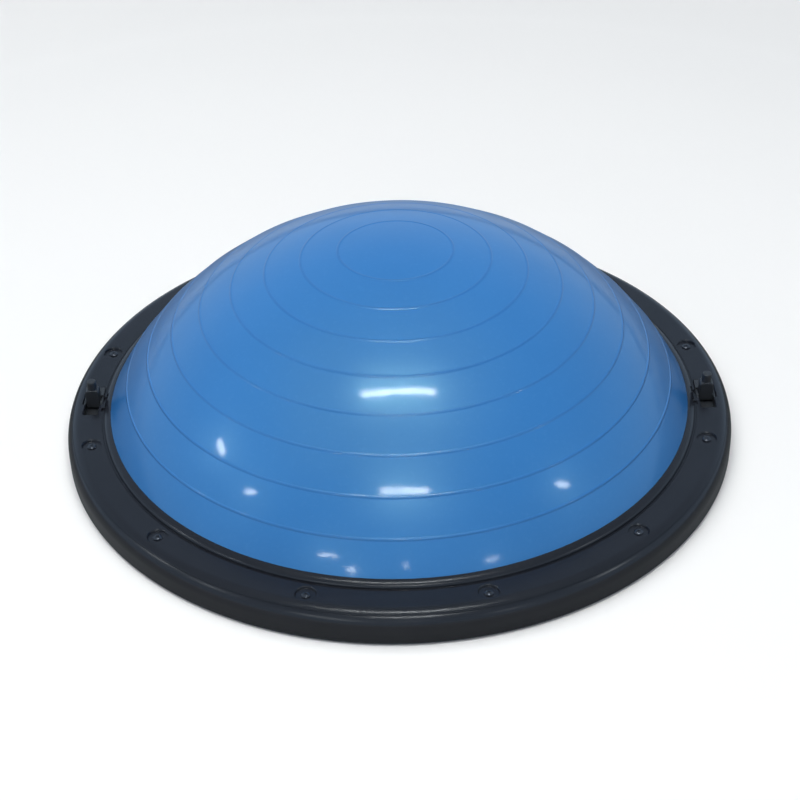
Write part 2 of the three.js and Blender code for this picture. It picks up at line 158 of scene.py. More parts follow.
def mesh_of(name, verts, faces):
    mesh = bpy.data.meshes.new(name)
    mesh.from_pydata([tuple(v) for v in verts], [], faces)
    return tidy_mesh(mesh)


def tidy_mesh(mesh):
    """Merges doubles, turns every face outwards, and sets smooth shading with crisp sharp edges."""
    bm = bmesh.new()
    bm.from_mesh(mesh)
    bmesh.ops.remove_doubles(bm, verts=bm.verts, dist=1e-6)
    bmesh.ops.dissolve_degenerate(bm, edges=bm.edges, dist=1e-7)
    bmesh.ops.recalc_face_normals(bm, faces=bm.faces)
    for face in bm.faces:
        face.smooth = True
    for edge in bm.edges:
        edge.smooth = edge.calc_face_angle(math.pi) < SMOOTH_ANGLE
    bm.to_mesh(mesh)
    bm.free()
    return mesh


def round_corners(points, steps=4, closed=True):
    """Turns (r, z, fillet radius) corners into a smooth list of (r, z) points."""
    out = []
    count = len(points)
    for i, (x, z, radius) in enumerate(points):
        here = Vector((x, z))
        if radius <= 0 or (not closed and i in (0, count - 1)):
            out.append((x, z))
            continue
        before = Vector(points[i - 1][:2]) - here
        after = Vector(points[(i + 1) % count][:2]) - here
        reach = min(radius, 0.49 * before.length, 0.49 * after.length)
        start = here + before.normalized() * reach
        end = here + after.normalized() * reach
        for k in range(steps + 1):
            t = k / steps
            p = start * (1 - t) ** 2 + here * 2 * t * (1 - t) + end * t**2
            out.append((p.x, p.y))
    return out


def revolve(outline, segments, closed=True, centre=(0.0, 0.0)):
    """Vertices and faces of an anticlockwise (r, z) outline turned about +Z."""
    verts, rings = [], []
    for r, z in outline:
        if r < 1e-9:
            rings.append([len(verts)])
            verts.append((centre[0], centre[1], z))
            continue
        rings.append(range(len(verts), len(verts) + segments))
        for i in range(segments):
            turn = math.tau * i / segments
            verts.append((centre[0] + r * math.sin(turn), centre[1] - r * math.cos(turn), z))
    faces = []
    pairs = list(zip(rings, rings[1:]))
    if closed:
        pairs.append((rings[-1], rings[0]))
    for low, high in pairs:
        for i in range(segments):
            j = (i + 1) % segments
            if len(low) == 1:
                faces.append((low[0], high[j], high[i]))
            elif len(high) == 1:
                faces.append((low[i], low[j], high[0]))
            else:
                faces.append((low[i], low[j], high[j], high[i]))
    return verts, faces


def loft(sections):
    """A closed solid through loops of the same length, with flat ends. Loops run anticlockwise."""
    count = len(sections[0])
    verts = [v for loop in sections for v in loop]
    faces = [tuple(reversed(range(count)))]
    for s in range(len(sections) - 1):
        low, high = s * count, (s + 1) * count
        for i in range(count):
            j = (i + 1) % count
            faces.append((low + i, low + j, high + j, high + i))
    top = (len(sections) - 1) * count
    faces.append(tuple(range(top, top + count)))
    return verts, faces


def rounded_rectangle(centre, half_x, half_y, radius, z, steps=5):
    points = []
    corners = [(1, -1, -90), (1, 1, 0), (-1, 1, 90), (-1, -1, 180)]
    for sx, sy, first in corners:
        cx = centre[0] + sx * (half_x - radius)
        cy = centre[1] + sy * (half_y - radius)
        for k in range(steps + 1):
            turn = math.radians(first + 90 * k / steps)
            points.append((cx + radius * math.cos(turn), cy + radius * math.sin(turn), z))
    return points


def merged(parts):
    verts, faces = [], []
    for part_verts, part_faces in parts:
        start = len(verts)
        verts += part_verts
        faces += [tuple(start + i for i in face) for face in part_faces]
    return verts, faces


def applied(obj):
    """Bakes an object's modifiers into its mesh."""
    evaluated = obj.evaluated_get(bpy.context.evaluated_depsgraph_get())
    baked = bpy.data.meshes.new_from_object(evaluated)
    obj.modifiers.clear()
    obj.data = baked
    return obj


def combine(obj, parts, operation):
    """Cuts parts from obj, or joins them on. The parts don't touch one another."""
    tool = add_object("tool", mesh_of("tool", *merged(parts)))
    boolean = obj.modifiers.new("boolean", "BOOLEAN")
    boolean.operation = operation
    boolean.solver = "EXACT"
    boolean.object = tool
    applied(obj)
    bpy.data.objects.remove(tool)
    tidy_mesh(obj.data)
    return obj


def finished(obj, body, nodes, material):
    """Makes obj stand for CAD nodes, on their body and with its material."""
    obj.data.materials.clear()
    obj.data.materials.append(material)
    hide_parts(*nodes)
    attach(obj, body)
    return obj


def flat_faces_stay_flat(obj):
    """Lets the large faces decide the shading normals they share with small ones."""
    weighted = obj.modifiers.new("weighted normals", "WEIGHTED_NORMAL")
    weighted.weight = 100
    weighted.keep_sharp = True
    return obj


def centre_of(node):
    low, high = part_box(node)
    return (low + high) / 2


# ================================================================ materials
def new_material(name):
    material = bpy.data.materials.new(name)
    material.use_nodes = True
    nodes = material.node_tree.nodes
    return material, nodes, material.node_tree.links, nodes["Principled BSDF"]


def noise_node(nodes, links, place, scale, detail=3.0, roughness=0.5):
    node = nodes.new("ShaderNodeTexNoise")
    node.inputs["Scale"].default_value = scale
    node.inputs["Detail"].default_value = detail
    node.inputs["Roughness"].default_value = roughness
    links.new(place, node.inputs["Vector"])
    return node.outputs["Fac"]


def ramp_node(nodes, links, source, stops):
    node = nodes.new("ShaderNodeValToRGB")
    ramp = node.color_ramp
    while len(ramp.elements) < len(stops):
        ramp.elements.new(0.5)
    for element, (position, value) in zip(ramp.elements, stops):
        element.position = position
        element.color = value if len(value) == 4 else (*value, 1.0)
    links.new(source, node.inputs["Fac"])
    return node.outputs["Color"]


def range_node(nodes, links, source, low, high, from_low=0.3, from_high=0.7):
    node = nodes.new("ShaderNodeMapRange")
    node.inputs["From Min"].default_value = from_low
    node.inputs["From Max"].default_value = from_high
    node.inputs["To Min"].default_value = low
    node.inputs["To Max"].default_value = high
    links.new(source, node.inputs["Value"])
    return node.outputs["Result"]


def mix_node(nodes, links, factor, first, second, blend="MIX"):
    node = nodes.new("ShaderNodeMix")
    node.data_type = "RGBA"
    node.blend_type = blend
    for socket, value in ((0, factor), (6, first), (7, second)):
        if isinstance(value, (int, float, tuple)):
            node.inputs[socket].default_value = value
        else:
            links.new(value, node.inputs[socket])
    return node.outputs[2]


def bump_node(nodes, links, height, distance, strength=1.0, below=None):
    node = nodes.new("ShaderNodeBump")
    node.inputs["Distance"].default_value = distance
    node.inputs["Strength"].default_value = strength
    links.new(height, node.inputs["Height"])
    if below is not None:
        links.new(below, node.inputs["Normal"])
    return node.outputs["Normal"]


def math_node(nodes, links, operation, first, second):
    node = nodes.new("ShaderNodeMath")
    node.operation = operation
    for socket, value in zip(node.inputs, (first, second)):
        if isinstance(value, (int, float)):
            socket.default_value = value
        else:
            links.new(value, socket)
    return node.outputs[0]


def length_node(nodes, links, vector):
    node = nodes.new("ShaderNodeVectorMath")
    node.operation = "LENGTH"
    links.new(vector, node.inputs[0])
    return node.outputs["Value"]


def split_node(nodes, links, vector):
    node = nodes.new("ShaderNodeSeparateXYZ")
    links.new(vector, node.inputs["Vector"])
    return node.outputs


def object_place(nodes):
    return nodes.new("ShaderNodeTexCoord").outputs["Object"]


VINYL_DEEP = (0.0235, 0.161, 0.455)
VINYL_LIGHT = (0.0290, 0.178, 0.490)
VINYL_FLECK = (0.10, 0.30, 0.62, 1.0)
# painted shade: the deeper blue that the beads are darkened towards
VINYL_BEAD_PAINTED_SHADE = (0.006, 0.085, 0.34, 1.0)


def vinyl_material():
    """Glossy blue vinyl: cloudy colour, fine pale flecks, painted shade darkening the beads, and a
    clear sheen.
    """
    material, nodes, links, shader = new_material("dome_vinyl")
    place = object_place(nodes)
    cloud = noise_node(nodes, links, place, 7.0, 4.0)
    speck = noise_node(nodes, links, place, 260.0, 2.0)
    base = ramp_node(nodes, links, cloud, [(0.3, VINYL_DEEP), (0.7, VINYL_LIGHT)])
    flecks = range_node(nodes, links, speck, 0.0, 0.10, 0.55, 0.8)
    colour = mix_node(nodes, links, flecks, base, VINYL_FLECK)
    # painted shade: the vinyl is darkened towards a deeper blue on each bead
    bead = nodes.new("ShaderNodeAttribute")
    bead.attribute_name = "bead"
    shadow = range_node(nodes, links, bead.outputs["Fac"], 0.0, BEAD_PAINTED_SHADE, 0.0, 0.8)
    colour = mix_node(nodes, links, shadow, colour, VINYL_BEAD_PAINTED_SHADE)
    links.new(colour, shader.inputs["Base Color"])
    haze = noise_node(nodes, links, place, 16.0, 5.0)
    links.new(range_node(nodes, links, haze, 0.28, 0.35), shader.inputs["Roughness"])
    shader.inputs["Specular IOR Level"].default_value = 0.95
    shader.inputs["Coat Weight"].default_value = 0.55
    smears = noise_node(nodes, links, place, 38.0, 6.0, 0.65)
    links.new(range_node(nodes, links, smears, 0.04, 0.09), shader.inputs["Coat Roughness"])
    shader.inputs["IOR"].default_value = 1.5
    shader.inputs["Specular Tint"].default_value = (0.55, 1.0, 1.0, 1.0)
    grain = bump_node(nodes, links, noise_node(nodes, links, place, 1100.0, 2.0), 0.04 * MM, 0.35)
    waves = bump_node(nodes, links, noise_node(nodes, links, place, 60.0, 2.0), 0.10 * MM, 0.5, grain)
    links.new(waves, shader.inputs["Normal"])
    links.new(waves, shader.inputs["Coat Normal"])
    return material


def moulded_material(name, dark, light, worn, rough, grain_scale, grain_depth):
    """Moulded plastic or rubber: fine grain, uneven gloss and paler worn edges."""
    material, nodes, links, shader = new_material(name)
    place = object_place(nodes)
    tone = noise_node(nodes, links, place, 22.0, 5.0, 0.6)
    base = ramp_node(nodes, links, tone, [(0.32, dark), (0.68, light)])
    pointed = nodes.new("ShaderNodeNewGeometry").outputs["Pointiness"]
    rubbed = range_node(nodes, links, pointed, 0.0, 0.55, 0.52, 0.60)
    scratch = noise_node(nodes, links, place, 140.0, 6.0, 0.7)
    broken = range_node(nodes, links, scratch, 0.0, 1.0, 0.42, 0.62)
    edge = math_node(nodes, links, "MULTIPLY", rubbed, broken)
    colour = mix_node(nodes, links, edge, base, (*worn, 1.0))
    links.new(colour, shader.inputs["Base Color"])
    gloss = noise_node(nodes, links, place, 55.0, 6.0, 0.6)
    links.new(range_node(nodes, links, gloss, *rough), shader.inputs["Roughness"])
    grain = noise_node(nodes, links, place, grain_scale, 3.0, 0.55)
    links.new(bump_node(nodes, links, grain, grain_depth, 0.6), shader.inputs["Normal"])
    return material


def metal_material(name, colour, rough):
    material, nodes, links, shader = new_material(name)
    place = object_place(nodes)
    tone = noise_node(nodes, links, place, 400.0, 4.0)
    shader.inputs["Metallic"].default_value = 0.85
    shades = [(0.3, tuple(0.8 * c for c in colour)), (0.7, colour)]
    links.new(ramp_node(nodes, links, tone, shades), shader.inputs["Base Color"])
    links.new(range_node(nodes, links, tone, *rough), shader.inputs["Roughness"])
    fine = noise_node(nodes, links, place, 2500.0, 2.0)
    links.new(bump_node(nodes, links, fine, 0.03 * MM, 0.4), shader.inputs["Normal"])
    return material


VINYL = vinyl_material()
PLATFORM_PLASTIC = moulded_material(
    "platform_plastic",
    dark=(0.0095, 0.0100, 0.0135), light=(0.0120, 0.0125, 0.0170), worn=(0.035, 0.040, 0.052),
    rough=(0.20, 0.262), grain_scale=1500.0, grain_depth=0.04 * MM,
)
# painted light: a paler copy of the black plastic, standing in for the fill light that the anchors
# lack
ANCHOR_PLASTIC_PAINTED_LIGHT = moulded_material(
    "anchor_plastic",
    dark=(0.026, 0.028, 0.032), light=(0.034, 0.036, 0.041), worn=(0.03, 0.03, 0.033),
    rough=(0.28, 0.40), grain_scale=2200.0, grain_depth=0.03 * MM,
)
FOOT_RUBBER = moulded_material(
    "foot_rubber",
    dark=(0.012, 0.012, 0.012), light=(0.022, 0.022, 0.022), worn=(0.05, 0.05, 0.05),
    rough=(0.70, 0.85), grain_scale=1800.0, grain_depth=0.08 * MM,
)
VALVE_RUBBER = moulded_material(
    "valve_rubber",
    dark=(0.012, 0.012, 0.013), light=(0.02, 0.02, 0.021), worn=(0.045, 0.045, 0.045),
    rough=(0.55, 0.7), grain_scale=1800.0, grain_depth=0.05 * MM,
)
PLUG_PLASTIC = moulded_material(
    "plug_plastic",
    dark=(0.72, 0.72, 0.68), light=(0.80, 0.80, 0.77), worn=(0.62, 0.61, 0.56),
    rough=(0.35, 0.5), grain_scale=1500.0, grain_depth=0.04 * MM,
)
SCREW_STEEL = metal_material("screw_steel", (0.11, 0.115, 0.13), rough=(0.16, 0.24))
PIN_STEEL = metal_material("pin_steel", (0.52, 0.53, 0.55), rough=(0.28, 0.36))


# ================================================================ inflated dome
def sphere_r(z, radius=DOME_R):
    return math.sqrt(radius**2 - (z - DOME_CENTRE) ** 2)


def skin_point(arc_length, lift):
    angle = arc_length / DOME_R
    return (DOME_R + lift) * math.sin(angle), DOME_CENTRE + (DOME_R + lift) * math.cos(angle)


def skin_arcs(end):
    """Arc lengths from the apex to end, fine across each bead and coarse between beads."""
    arcs = []
    edges = [0.0]
    for i in range(BEAD_COUNT):
        middle = BEAD_FIRST + i * BEAD_PITCH
        foot = BEAD_HALF + BEAD_FOOT
        edges += [middle - foot, middle - BEAD_HALF, middle + BEAD_HALF, middle + foot]
    edges.append(end)
    for i, (a, b) in enumerate(zip(edges, edges[1:])):
        steps = (max(2, round((b - a) / SKIN_STEP)), 1, BEAD_STEPS, 1)[i % 4]
        arcs += [a + (b - a) * k / steps for k in range(steps)]
    return arcs + [end]


def bead_lift(arc_length):
    nearest = round((arc_length - BEAD_FIRST) / BEAD_PITCH)
    nearest = min(max(nearest, 0), BEAD_COUNT - 1)
    away = abs(arc_length - BEAD_FIRST - nearest * BEAD_PITCH) / BEAD_HALF
    if away >= 1:
        return 0.0
    return BEAD_HEIGHT * math.cos(away * math.pi / 2)


def inner_skin(low, steps=36):
    """The inside of the dome wall from the apex down to a height."""
    radius = DOME_R - DOME_WALL
    end = math.acos((low - DOME_CENTRE) / radius)
    points = []
    for k in range(steps + 1):
        turn = end * k / steps
        points.append((radius * math.sin(turn), DOME_CENTRE + radius * math.cos(turn)))
    return points


def swell(obj, fade_from, fade_to):
    """Moves the skin in and out slightly, fading to nothing at the seam."""
    centre = Vector((0, 0, DOME_CENTRE))
    for vertex in obj.data.vertices:
        outward = (vertex.co - centre).normalized()
        amount = noise.noise(vertex.co * SWELL_SCALE)
        amount += 0.5 * noise.noise(vertex.co * SWELL_FINE * SWELL_SCALE)
        fade = min(1.0, max(0.0, (vertex.co.z - fade_from) / (fade_to - fade_from)))
        vertex.co += outward * amount * SWELL * fade
    return obj


def mark_beads(obj):
    """Stores how high each vertex stands on a bead, as the mask for the painted shade on the beads."""
    marks = obj.data.attributes.new("bead", "FLOAT", "POINT")
    for vertex, mark in zip(obj.data.vertices, marks.data):
        radial = math.hypot(vertex.co.x, vertex.co.y)
        height = vertex.co.z - DOME_CENTRE
        if math.hypot(radial, height) > DOME_R - 0.5 * DOME_WALL:
            mark.value = bead_lift(DOME_R * math.atan2(radial, height)) / BEAD_HEIGHT


def build_dome():
    seam_arc = DOME_R * math.acos((DOME_SEAM - DOME_CENTRE) / DOME_R)
    outer = [skin_point(a, bead_lift(a)) for a in skin_arcs(seam_arc)]
    outline = inner_skin(DOME_SEAM) + outer[::-1]
    outline[0] = (0.0, outline[0][1])
    outline[-1] = (0.0, outline[-1][1])
    dome = add_object("dome_skin", mesh_of("dome_skin", *revolve(outline, ROUND_SEGMENTS, False)))
    mark_beads(dome)
    swell(dome, DOME_SEAM, DOME_SEAM + SWELL_FADE)
    finished(dome, "platform", ["dome_bladder"], VINYL)
    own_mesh(dome)


def build_dome_skirt():
    """The part of the bladder that the ring clamps, with its flange and flat floor membrane."""
    flange_low = LAND_TOP + TOUCH_GAP
    flange_high = flange_low + FLANGE_WALL
    membrane_top = MEMBRANE_BOTTOM + MEMBRANE_WALL
    inner_r = DOME_R - DOME_WALL
    corners = [
        (sphere_r(DOME_SEAM, inner_r), DOME_SEAM, 0),
        (sphere_r(DOME_SHOULDER, inner_r), DOME_SHOULDER, 3 * MM),
        (MEMBRANE_EDGE_R, membrane_top, 3 * MM),
        (AIR_HOLE_R, membrane_top, 0.5 * MM),
        (AIR_HOLE_R, MEMBRANE_BOTTOM, 0.5 * MM),
        (MEMBRANE_EDGE_R + 2.9 * MM, MEMBRANE_BOTTOM, 3 * MM),
        (MEMBRANE_EDGE_R + 3.9 * MM, flange_low, 0.6 * MM),
        (FLANGE_R, flange_low, 0.6 * MM),
        (FLANGE_R, flange_high, 0.6 * MM),
        (FLANGE_ROOT_R, flange_high, 0.8 * MM),
        (sphere_r(DOME_SHOULDER), DOME_SHOULDER, 3 * MM),
        (sphere_r(DOME_SEAM), DOME_SEAM, 0),
    ]
    verts, faces = revolve(round_corners(corners), ROUND_SEGMENTS)
    skirt = add_object("dome_skirt", mesh_of("dome_skirt", verts, faces))
    skirt.data.materials.append(VINYL)
    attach(skirt, "platform")


# ================================================================ clamp ring
def rounded_edge(outer, inner, steps):
    """Corners along the rounded outer edge, from one radius in to another."""
    centre = PLATFORM_R - EDGE_WIDTH
    start = math.acos(min(1.0, (outer - centre) / EDGE_WIDTH))
    end = math.acos((inner - centre) / EDGE_WIDTH)
    corners = []
    for k in range(steps + 1):
        turn = start + (end - start) * k / steps
        height = RING_TOP - EDGE_DROP + EDGE_DROP * math.sin(turn)
        corners.append((centre + EDGE_WIDTH * math.cos(turn), height, 0))
    return corners


def rounded_lip(steps):
    """Corners over the lip, from its foot on the plate up and in to the dome."""
    centre = LIP_R + 0.3 * MM - LIP_WIDTH
    height = LIP_TOP - 0.2 * MM - RING_TOP
    end = math.asin((sphere_r(LIP_TOP) + TOUCH_GAP - centre) / LIP_WIDTH)
    corners = []
    for k in range(steps + 1):
        turn = math.radians(90) + (end - math.radians(90)) * k / steps
        corners.append((centre + LIP_WIDTH * math.sin(turn), RING_TOP + height * math.cos(turn), 0))
    return corners


def ring_corners():
    groove = RING_TOP - GROOVE_DEPTH
    edge = rounded_edge(RING_R, PLATFORM_R - EDGE_WIDTH, 16)
    seam_r, seam_z, _ = edge[0]
    edge[0] = (seam_r, seam_z, 0.15 * MM)
    seat = [(sphere_r(z) + TOUCH_GAP, z, 0) for z in (28 * MM, DOME_SHOULDER)]
    return [
        (SKIRT_R, LEDGE_TOP + TOUCH_GAP, 0.3 * MM),
        (RING_R, LEDGE_TOP + TOUCH_GAP, 0.3 * MM),
        *edge,
        (GROOVE_R, RING_TOP, 0.5 * MM),
        (GROOVE_R - 0.4 * MM, groove, 0.3 * MM),
        (LIP_R + 0.3 * MM, groove, 0.2 * MM),
        *rounded_lip(14),
        *seat,
        (CLAMP_SKIRT_R, RING_BOTTOM + 1.8 * MM, 0),
        (CLAMP_SKIRT_R, RING_BOTTOM, 0.3 * MM),
        (CLAMP_R, RING_BOTTOM, 0.3 * MM),
        (CLAMP_R, RING_UNDERSIDE, 0.4 * MM),
        (SKIRT_R, RING_UNDERSIDE, 0.4 * MM),
    ]


def screw_pad(centre):
    """The thicker disc of the ring that one screw goes through."""
    low, high = SCREW_PAD_BOTTOM, RING_UNDERSIDE + 1 * MM
    pad = [(0, low), (SCREW_PAD_R, low), (SCREW_PAD_R, high), (0, high)]
    return revolve(pad, SMALL_SEGMENTS, False, (centre.x, centre.y))


def counterbore(centre):
    """The recess for one screw head, with a broken edge, and the hole under it."""
    corners = [
        (0, SCREW_PAD_BOTTOM - CUT_PAST, 0),
        (SCREW_HOLE_R, SCREW_PAD_BOTTOM - CUT_PAST, 0),
        (SCREW_HOLE_R, COUNTERBORE_FLOOR, 0),
        (COUNTERBORE_R, COUNTERBORE_FLOOR, 0.8 * MM),
        (COUNTERBORE_R + 0.1 * MM, RING_TOP - COUNTERBORE_SOFT, 0.5 * MM),
        (COUNTERBORE_R + COUNTERBORE_SOFT, RING_TOP, 0),
        (COUNTERBORE_R + COUNTERBORE_SOFT + CUT_PAST, RING_TOP + CUT_PAST, 0),
        (0, RING_TOP + CUT_PAST, 0),
    ]
    outline = round_corners(corners, 4, False)
    return revolve(outline, SMALL_SEGMENTS, False, (centre.x, centre.y))


def opening(centre, half_x, half_y, radius, floor):
    """A rounded rectangular opening in the ring's top face, with a broken edge."""
    levels = [
        (floor, 0.0),
        (RING_TOP - EDGE, 0.0),
        (RING_TOP, EDGE),
        (RING_TOP + 7 * MM, EDGE),
    ]
    sections = [
        rounded_rectangle(centre, half_x + grow, half_y + grow, radius + grow, z)
        for z, grow in levels
    ]
    return loft(sections)


def box_part(low, high, radius=0.4 * MM):
    """An upright block between two corners, with rounded vertical edges."""
    centre = ((low[0] + high[0]) / 2, (low[1] + high[1]) / 2)
    half_x, half_y = (high[0] - low[0]) / 2, (high[1] - low[1]) / 2
    return loft([rounded_rectangle(centre, half_x, half_y, radius, z) for z in (low[2], high[2])])


def anchor_cuts(x):
    """Groups of cutters for one band anchor: pocket, trench, bracket room and windows."""
    side = math.copysign(1, x)
    pocket_y = (POCKET_FRONT + POCKET_BACK) / 2
    pocket_half_y = (POCKET_BACK - POCKET_FRONT) / 2
    trench_y = (TRENCH_FRONT + POCKET_FRONT) / 2 + 1 * MM
    trench_half_y = (POCKET_FRONT - TRENCH_FRONT) / 2 + 1 * MM
    bracket_low, bracket_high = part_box("anchor_bracket_left" if side < 0 else "anchor_bracket_right")
    gap = TOUCH_GAP
    low = (bracket_low.x - gap, bracket_low.y - gap, RING_BOTTOM - CUT_PAST)
    high = (bracket_high.x + gap, bracket_high.y + gap, RING_UNDERSIDE)
    groups = [
        [opening((x, pocket_y), POCKET_HALF, pocket_half_y, 1.2 * MM, RING_UNDERSIDE - 1 * MM)],
        [opening((x, trench_y), TRENCH_HALF, trench_half_y, 1.2 * MM, RING_UNDERSIDE - 1.5 * MM)],
        [box_part(low, high)],
    ]
    windows = [
        opening((side * WINDOW_MIDDLE, y), WINDOW_HALF, half, 0.5 * MM, WINDOW_FLOOR)
        for y, half in WINDOWS
    ]
    return groups + [windows]


def build_ring():
    outline = round_corners(ring_corners(), 5)
    ring = add_object("ring", mesh_of("ring", *revolve(outline, ROUND_SEGMENTS)))
    combine(ring, [screw_pad(centre_of(screw)) for screw in SCREWS], "UNION")
    combine(ring, [counterbore(centre_of(screw)) for screw in SCREWS], "DIFFERENCE")
    for side in ("left", "right"):
        for cuts in anchor_cuts(centre_of("anchor_pin_" + side).x):
            combine(ring, cuts, "DIFFERENCE")
    finished(ring, "platform", ["clamp_ring"], PLATFORM_PLASTIC)
    flat_faces_stay_flat(ring)


# ================================================================ platform
def tray_corners():
    edge = rounded_edge(PLATFORM_R, SEAM_R, 12)
    seam_r, seam_z, _ = edge[-1]
    edge[-1] = (seam_r, seam_z, 0.15 * MM)
    return [
        (VALVE_RECESS_R, PLATFORM_BOTTOM, 0.8 * MM),
        (PLATFORM_R, PLATFORM_BOTTOM, 1.6 * MM),
        *edge,
        (SEAM_R, LEDGE_TOP, 0.4 * MM),
        (LEDGE_R, LEDGE_TOP, 0.4 * MM),
        (LEDGE_R, PLATE_TOP, 1 * MM),
        (CLAMP_R, PLATE_TOP, 1 * MM),
        (CLAMP_R, LAND_TOP, 0.4 * MM),
        (LAND_R, LAND_TOP, 0.4 * MM),
        (LAND_R, PLATE_TOP, 1 * MM),
        (HUB_R, PLATE_TOP, 1 * MM),
        (HUB_R, HUB_TOP, 0.5 * MM),
        (VALVE_HOLE_R, HUB_TOP, 0.4 * MM),
        (VALVE_HOLE_R, VALVE_RECESS_TOP, 0.4 * MM),
        (VALVE_RECESS_R, VALVE_RECESS_TOP, 1 * MM),
    ]


def sector_loop(inner, outer, azimuth, half_angle, grow, z, steps=20):
    """A ring-sector loop with rounded ends, at a height."""
    middle, half = (inner + outer) / 2, (outer - inner) / 2 + grow
    end_angle = half_angle - half / middle
    points = []
    for k in range(steps + 1):
        turn = azimuth - end_angle + 2 * end_angle * k / steps
        points.append(((middle + half) * math.sin(turn), -(middle + half) * math.cos(turn), z))
    for sign, arc_from in ((1, 0), (-1, 180)):
        turn = azimuth + sign * end_angle
        radial = Vector((math.sin(turn), -math.cos(turn)))
        along = Vector((math.cos(turn), math.sin(turn)))
        for k in range(1, 12):
            around = math.radians(arc_from + 180 * k / 12)
            p = radial * (middle + half * math.cos(around)) + along * half * math.sin(around)
            points.append((p.x, p.y, z))
        if sign == 1:
            for k in range(steps + 1):
                back = azimuth + end_angle - 2 * end_angle * k / steps
                points.append(((middle - half) * math.sin(back), -(middle - half) * math.cos(back), z))
    return points


def grip_box(azimuth):
    """The walls round a hand grip, standing on the platform's floor."""
    inner, outer = GRIP_INNER - GRIP_WALL, GRIP_OUTER + GRIP_WALL
    half = GRIP_HALF_ANGLE + math.radians(0.8)
    levels = (PLATE_TOP - 1 * MM, GRIP_DEPTH + 4.6 * MM)
    return loft([sector_loop(inner, outer, azimuth, half, 0, z) for z in levels])


def grip_hollow(azimuth):
    """The hollow of a hand grip, with a rounded mouth and a rounded top."""
    levels = [
        (PLATFORM_BOTTOM - CUT_PAST, 1.2 * MM),
        (PLATFORM_BOTTOM, 1.2 * MM),
        (PLATFORM_BOTTOM + 0.4 * MM, 0.45 * MM),
        (PLATFORM_BOTTOM + 1.3 * MM, 0.0),
        (PLATFORM_BOTTOM + GRIP_DEPTH - 2 * MM, -0.3 * MM),
        (PLATFORM_BOTTOM + GRIP_DEPTH - 0.6 * MM, -0.9 * MM),
        (PLATFORM_BOTTOM + GRIP_DEPTH, -2.2 * MM),
    ]
    loops = [
        sector_loop(GRIP_INNER, GRIP_OUTER, azimuth, GRIP_HALF_ANGLE, grow, z) for z, grow in levels
    ]
    return loft(loops)


def foot_seat(centre, radius, top):
    """The blind hole in the platform's underside for one foot."""
    outline = [
        (0, PLATFORM_BOTTOM - CUT_PAST),
        (radius + EDGE + CUT_PAST, PLATFORM_BOTTOM - CUT_PAST),
        (radius + EDGE, PLATFORM_BOTTOM),
        (radius, PLATFORM_BOTTOM + EDGE),
        (radius, top),
        (0, top),
    ]
    return revolve(outline, SMALL_SEGMENTS, False, (centre.x, centre.y))


def screw_boss(centre):
    """The hollow post under one screw, from the platform's floor up to the ring."""
    low, high = PLATE_TOP - 1 * MM, SCREW_PAD_BOTTOM - TOUCH_GAP
    boss = [(SCREW_HOLE_R, low), (BOSS_R, low), (BOSS_R, high), (SCREW_HOLE_R, high)]
    return revolve(boss, SMALL_SEGMENTS, True, (centre.x, centre.y))


def build_tray():
    outline = round_corners(tray_corners(), 5)
    tray = add_object("platform", mesh_of("platform", *revolve(outline, ROUND_SEGMENTS)))
    quarter = math.pi / 2
    combine(tray, [grip_box(quarter), grip_box(-quarter)], "UNION")
    combine(tray, [grip_hollow(quarter), grip_hollow(-quarter)], "DIFFERENCE")
    foot_low, foot_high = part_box(FEET[0])
    radius = (foot_high.x - foot_low.x) / 2 + TOUCH_GAP
    top = foot_high.z + 0.3 * MM
    combine(tray, [foot_seat(centre_of(foot), radius, top) for foot in FEET], "DIFFERENCE")
    combine(tray, [screw_boss(centre_of(screw)) for screw in SCREWS], "UNION")
    finished(tray, "platform", ["base_tray"], PLATFORM_PLASTIC)
    flat_faces_stay_flat(tray)


# ================================================================ screws, feet and valve
def cross_recess(half_length, half_width, low, high):
    """Two tapered bars that cut a cross into a screw head."""
    bars = []
    for along, across in ((half_length, half_width), (half_width, half_length)):
        sections = [
            rounded_rectangle((0, 0), along * s, across * s, 0.25 * half_width, z, 2)
            for s, z in ((0.55, low), (1.0, high))
        ]
        bars.append(loft(sections))
    return bars


def build_screws():
    low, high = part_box(SCREWS[0])
    head_r = 3.9 * MM
    shank_r = 2 * MM
    under_head = COUNTERBORE_FLOOR + 0.3 * MM
    corners = [
        (0, low.z, 0),
        (shank_r, low.z + 3 * MM, 0.4 * MM),
        (shank_r, under_head, 0),
        (head_r, under_head, 0.3 * MM),
        (head_r, under_head + 0.35 * (high.z - under_head), 0.25 * MM),
        (0.62 * head_r, high.z - 0.15 * MM, 1.2 * MM),
        (0, high.z, 0),
    ]
    outline = round_corners(corners, 5, False)
    master = add_object("screw", mesh_of("screw", *revolve(outline, SMALL_SEGMENTS, False)))
    for bar in cross_recess(2.1 * MM, 0.42 * MM, high.z - 1.3 * MM, high.z + 0.3 * MM):
        combine(master, [bar], "DIFFERENCE")
    for number, node in enumerate(SCREWS):
        spot = centre_of(node)
        mesh = master.data.copy()
        turn = Matrix.Rotation(0.7 + 1.9 * number, 4, "Z")
        mesh.transform(Matrix.Translation((spot.x, spot.y, 0)) @ turn)
        screw = add_object("screw_" + node[-2:], mesh)
        finished(screw, "platform", [node], SCREW_STEEL)
    bpy.data.objects.remove(master)


